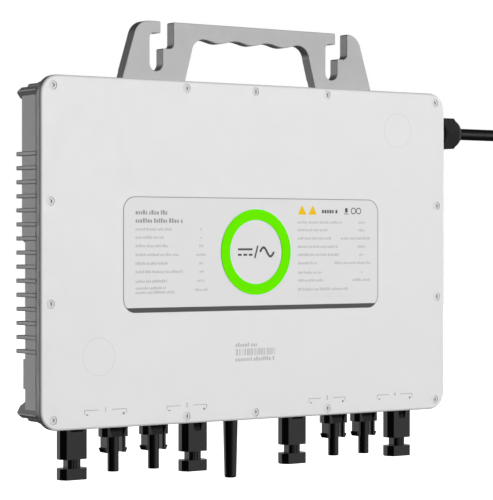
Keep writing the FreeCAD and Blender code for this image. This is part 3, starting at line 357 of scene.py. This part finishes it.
def blocks(sheet, x0, x1, z, height):
    """A stand-in for a line of small print: a row of plain blocks in groups, between x0 and x1."""
    x = x0
    left_in_word = dice.randint(3, 8)
    while x < x1 - BLOCK_GAP * height:
        width = height * dice.uniform(NARROW, WIDE)
        tall = height if dice.random() < TALL_SHARE else height * LOW_BLOCK
        sheet.bar(x, min(x + width, x1), z - height / 2, z - height / 2 + tall)
        x += width + height * BLOCK_GAP
        left_in_word -= 1
        if left_in_word == 0:
            x += height * WORD_GAP
            left_in_word = dice.randint(3, 8)


DOT_W = 0.45
DOT_H = 0.24
DOT_PITCH = 0.95


def leader(sheet, x0, x1, z):
    """A row of dots from x0 to x1."""
    x = x0
    while x < x1:
        sheet.bar(x, x + DOT_W, z - DOT_H / 2, z + DOT_H / 2)
        x += DOT_PITCH


LABEL_X0, LABEL_X1 = ((x - COVER_X) / MM for x in (label_low.x, label_high.x))
LABEL_Z0, LABEL_Z1 = ((z - COVER_Z) / MM for z in (label_low.z, label_high.z))
LABEL_R = 10.0
EDGE = 0.7

outline = Print("label_outline", INK_LINE, LABEL_Y, "label_print")
outer = rounded(LABEL_X0 + 0.1, LABEL_X1 - 0.1, LABEL_Z0 + 0.1, LABEL_Z1 - 0.1, LABEL_R - 0.1)
inner = rounded(LABEL_X0 + EDGE, LABEL_X1 - EDGE, LABEL_Z0 + EDGE, LABEL_Z1 - EDGE, LABEL_R - EDGE)
outline.band(outer, inner)
outline.done()

BAND_TOP = -39.3
band = Print("label_band", INK_DARK, LABEL_Y - 0.00002, "label_print")
foot = [(x, z) for x, z in rounded(LABEL_X0 + 0.05, LABEL_X1 - 0.05, LABEL_Z0 + 0.05, LABEL_Z1, LABEL_R, 24)
        if z < BAND_TOP]
reach = LABEL_X1 - LABEL_R + math.sqrt(LABEL_R ** 2 - (BAND_TOP - LABEL_Z0 - LABEL_R) ** 2) - 0.05
band.polygon([(-reach, BAND_TOP)] + foot + [(reach, BAND_TOP)])
band.done()

ROW_H = 2.0
HEAD_H = 3.2
LEFT_X = -104.8
RIGHT_X = 38.3
LEADER_END = -52.0
rows = Print("label_rows", INK_TEXT, LABEL_Y, "label_print")
dots = Print("label_leaders", INK_FAINT, LABEL_Y, "label_print")
heads = Print("label_headings", INK_HEAD, LABEL_Y, "label_print")
blocks(heads, LEFT_X, -77.2, 28.4, HEAD_H)
blocks(heads, LEFT_X, -64.8, 22.6, HEAD_H)
LEFT_ROWS = [
    (16.5, -74.0, -49.2, -47.7), (10.7, -81.0, -49.4, -47.9), (4.6, -77.5, -50.4, -47.0),
    (-1.6, -67.8, -53.0, -44.5), (-7.8, -77.5, -50.4, -47.0), (-13.8, -64.8, -50.2, -46.8),
    (-20.5, -77.5, -52.1, -46.2),
]
for z, label_end, value_start, value_end in LEFT_ROWS:
    blocks(rows, LEFT_X, label_end, z, ROW_H)
    leader(dots, label_end + 1.0, LEADER_END if value_start > LEADER_END else value_start - 1.5, z)
    blocks(rows, value_start, value_end, z, ROW_H)
blocks(rows, LEFT_X, -79.0, -25.3, ROW_H)
blocks(rows, LEFT_X, -72.0, -28.4, ROW_H)
leader(dots, -71.0, -56.0, -27.0)
blocks(rows, -54.2, -42.5, -26.9, ROW_H)

RIGHT_ROWS = [
    (22.1, 80.2, 95.6, 102.5), (16.3, 66.2, 95.6, 102.5), (10.1, 70.3, 79.0, 107.4),
    (3.9, 76.0, 94.9, 102.9), (-2.2, 78.1, 96.5, 101.5), (-8.4, 56.7, 73.0, 107.4),
    (-15.4, 60.4, 98.3, 100.0), (-21.3, 62.2, 90.4, 107.2),
]
for z, label_end, value_start, value_end in RIGHT_ROWS:
    blocks(rows, RIGHT_X, label_end, z, ROW_H)
    leader(dots, label_end + 1.0, value_start - 1.2, z)
    blocks(rows, value_start, value_end, z, ROW_H)
blocks(rows, RIGHT_X, 86.4, -27.9, 2.2)
NOTE_H = 1.3
NOTES = [(RIGHT_X, 57.0, -31.2), (62.0, 81.2, -31.2), (RIGHT_X, 60.5, -33.4), (62.0, 88.5, -33.4)]
for x0, x1, z in NOTES:
    blocks(dots, x0, x1, z, NOTE_H)
rows.done()
dots.done()
heads.done()

# Plain marks stand where the printed symbols are.
amber = Print("label_amber_marks", INK_AMBER, LABEL_Y, "label_print")
for x in (42.3, 52.2):
    amber.polygon([(x - 3.8, 27.7), (x + 3.8, 27.7), (x + 0.25, 34.3), (x - 0.25, 34.3)])
amber.done()
marks = Print("label_dark_marks", INK_DARK, LABEL_Y, "label_print")
blocks(marks, 61.0, 75.7, 30.6, 3.4)
marks.bar(83.0, 85.4, 29.6, 32.9)
marks.bar(82.2, 86.2, 28.2, 28.8)
marks.band(circle(91.0, 30.8, 2.5, 24), circle(91.0, 30.8, 1.8, 24))
marks.band(circle(96.0, 30.8, 2.5, 24), circle(96.0, 30.8, 1.8, 24))
# Inside the ring: the signs for direct current and for alternating current.
marks.bar(-16.3, -3.2, 1.2, 2.7)
for x in (-16.3, -11.4, -6.5):
    marks.bar(x, x + 3.3, -2.8, -1.3)
stroke(marks, [(-1.2, -4.6), (1.6, 4.6)], 1.3)
wave = [(3.6 + 12.6 * k / 32, 3.3 * math.sin(2 * math.pi * k / 32)) for k in range(33)]
stroke(marks, wave, 1.7)
marks.done()

# Marks printed on the cover: a bracket with a number for each pair of connectors, and a code patch.
BRACKET_TOP = -109.9
BRACKET_FOOT = -112.7
BRACKETS = [(-147.0, -112.2), (-78.4, -43.7), (48.5, 83.3), (114.1, 148.9)]
LINE_W = 0.5
NUMBER_GAP = 5.6
NUMBER_H = 4.3
ports = Print("port_brackets", INK_FINE, COVER_Y, "cover_paint")
for x0, x1 in BRACKETS:
    middle = (x0 + x1) / 2
    ports.bar(x0, middle - NUMBER_GAP, BRACKET_TOP - LINE_W / 2, BRACKET_TOP + LINE_W / 2)
    ports.bar(middle + NUMBER_GAP, x1, BRACKET_TOP - LINE_W / 2, BRACKET_TOP + LINE_W / 2)
    ports.bar(x0, x0 + LINE_W, BRACKET_FOOT, BRACKET_TOP - LINE_W / 2)
    ports.bar(x1 - LINE_W, x1, BRACKET_FOOT, BRACKET_TOP - LINE_W / 2)
ports.done()
SIGN_Z = -113.0
SIGN_HALF = 0.9
SIGN_LINE = 0.6
signs = Print("port_signs", INK_DARK, COVER_Y, "cover_paint")
for x0, x1 in BRACKETS:
    minus, plus = x0 + 2.3, x1 - 2.4
    low_edge, high_edge = SIGN_Z - SIGN_LINE / 2, SIGN_Z + SIGN_LINE / 2
    signs.bar(minus - SIGN_HALF, minus + SIGN_HALF, low_edge, high_edge)
    signs.bar(plus - SIGN_HALF, plus + SIGN_HALF, low_edge, high_edge)
    signs.bar(plus - SIGN_LINE / 2, plus + SIGN_LINE / 2, high_edge, SIGN_Z + SIGN_HALF)
    signs.bar(plus - SIGN_LINE / 2, plus + SIGN_LINE / 2, SIGN_Z - SIGN_HALF, low_edge)
signs.done()
for number, (x0, x1) in enumerate(BRACKETS, 1):
    text = bpy.data.curves.new(f"port_number_{number}", "FONT")
    text.body = str(number)
    text.size = NUMBER_H * MM
    text.extrude = INK
    text.align_x = "CENTER"
    text.align_y = "CENTER"
    text.materials.append(INK_HEAD)
    figure = bpy.data.objects.new(text.name, text)
    figure.location = (COVER_X + (x0 + x1) / 2 * MM, COVER_Y, COVER_Z + BRACKET_TOP * MM)
    figure.rotation_euler = (math.radians(90), 0, 0)
    bpy.context.scene.collection.objects.link(figure)
    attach(figure, "housing")

code = Print("code_bars", INK_TEXT, COVER_Y, "cover_paint")
x = -18.2
while x < 17.4:
    wide = dice.choice((0.35, 0.35, 0.7, 1.05))
    code.bar(x, min(x + wide, 17.7), -75.7, -70.6)
    x += wide + dice.choice((0.35, 0.7, 0.7, 1.05))
blocks(code, -18.4, 2.9, -67.8, 3.0)
blocks(code, -18.4, 17.7, -78.3, 3.0)
code.done()

faint = Print("cover_circles", INK_FAINT, COVER_Y, "cover_paint")
for x, z in ((-135.0, -72.9), (134.7, 92.9)):
    faint.band(circle(x, z, 13.35, 72), circle(x, z, 12.95, 72))
faint.done()


# ---- floor, light and backdrop ----

FLOOR_DROP = 0.28
floor_mesh = bpy.data.meshes.new("studio_floor")
grid = bmesh.new()
bmesh.ops.create_circle(grid, cap_ends=True, radius=14.0, segments=64)
grid.to_mesh(floor_mesh)
grid.free()
floor = bpy.data.objects.new("studio_floor", floor_mesh)
floor.location = (0, 0, cad_low.z - FLOOR_DROP)
floor_mesh.materials.append(material("studio_floor", rgb(250, 250, 250), 0.9, mottle=0.002, mottle_scale=2,
                                     specular=0.0, glow=1.0))
floor.visible_diffuse = False
floor.visible_glossy = False
bpy.context.scene.collection.objects.link(floor)


def soft_sun(name, azimuth, elevation, strength, spread):
    """Soft light from one side. Azimuth is in degrees from the front, -Y, towards the right, +X."""
    lamp = bpy.data.lights.new(name, "SUN")
    lamp.energy = strength
    lamp.angle = math.radians(spread)
    holder = bpy.data.objects.new(name, lamp)
    turn, lift = math.radians(azimuth), math.radians(elevation)
    source = Vector((math.sin(turn) * math.cos(lift), -math.cos(turn) * math.cos(lift), math.sin(lift)))
    holder.rotation_euler = source.to_track_quat("Z", "Y").to_euler()
    holder.visible_glossy = False
    bpy.context.scene.collection.objects.link(holder)


soft_sun("key_light", 25, 3, 4.4, 20)
soft_sun("right_light", 95, 4, 0.6, 40)
soft_sun("back_light", 150, 18, 2.4, 30)


def ramp_of(tree, value, stops):
    """Levels along a value that runs from 0 to 1."""
    ramp = tree.nodes.new("ShaderNodeValToRGB")
    for k, (at, level) in enumerate(stops):
        stop = ramp.color_ramp.elements[k] if k < 2 else ramp.color_ramp.elements.new(at)
        stop.position = at
        stop.color = (level, level, level, 1)
    tree.links.new(value, ramp.inputs["Fac"])
    return ramp.outputs["Color"]


def math_node(tree, kind, first, second):
    node = tree.nodes.new("ShaderNodeMath")
    node.operation = kind
    for socket, value in zip(node.inputs, (first, second)):
        if isinstance(value, (int, float)):
            socket.default_value = value
        else:
            tree.links.new(value, socket)
    return node.outputs["Value"]


def backdrop(tree, color, strength):
    node = tree.nodes.new("ShaderNodeBackground")
    node.inputs["Strength"].default_value = strength
    if isinstance(color, tuple):
        node.inputs["Color"].default_value = color
    else:
        tree.links.new(color, node.inputs["Color"])
    return node.outputs["Background"]


def choose(tree, test, no, yes):
    node = tree.nodes.new("ShaderNodeMixShader")
    tree.links.new(test, node.inputs["Fac"])
    tree.links.new(no, node.inputs[1])
    tree.links.new(yes, node.inputs[2])
    return node.outputs["Shader"]


# What glossy surfaces mirror: a band round the horizon that is bright behind on the left and ahead on the
# right, and dark from the left round to the front. AROUND runs from straight behind, by way of the left,
# the front and the right, back to behind. HEIGHT runs from straight down to straight up.
AROUND = [(0.0, 0.7), (0.083, 0.8), (0.145, 0.8), (0.16, 0.02), (0.42, 0.02), (0.48, 0.15),
          (0.56, 0.6), (0.62, 0.6), (0.72, 0.35), (0.86, 0.3), (0.94, 0.3), (1.0, 0.7)]
HEIGHT = [(0.0, 0.0), (0.33, 0.02), (0.43, 1.0), (0.57, 1.0), (0.66, 0.4), (0.76, 0.03), (1.0, 0.0)]
world = bpy.data.worlds.new("studio")
bpy.context.scene.world = world
world.use_nodes = True
tree = world.node_tree
tree.nodes.clear()
split = tree.nodes.new("ShaderNodeSeparateXYZ")
tree.links.new(tree.nodes.new("ShaderNodeTexCoord").outputs["Generated"], split.inputs["Vector"])
ahead = math_node(tree, "MULTIPLY", split.outputs["Y"], -1.0)
turned = math_node(tree, "ARCTAN2", split.outputs["X"], ahead)
share = math_node(tree, "ADD", math_node(tree, "DIVIDE", turned, 2 * math.pi), 0.5)
height = math_node(tree, "MULTIPLY_ADD", split.outputs["Z"], 0.5)
height.node.inputs[2].default_value = 0.5
mirrored = math_node(tree, "MULTIPLY", ramp_of(tree, share, AROUND), ramp_of(tree, height, HEIGHT))
paths = tree.nodes.new("ShaderNodeLightPath")
soft = backdrop(tree, (1, 1, 1, 1), 0.08)
seen = backdrop(tree, (1, 1, 1, 1), 1.0)
around = choose(tree, paths.outputs["Is Glossy Ray"], soft, backdrop(tree, mirrored, 1.4))
around = choose(tree, paths.outputs["Is Camera Ray"], around, seen)
world_out = tree.nodes.new("ShaderNodeOutputWorld")
tree.links.new(around, world_out.inputs["Surface"])

bpy.context.scene.view_settings.view_transform = "Standard"
bpy.context.scene.view_settings.look = "None"
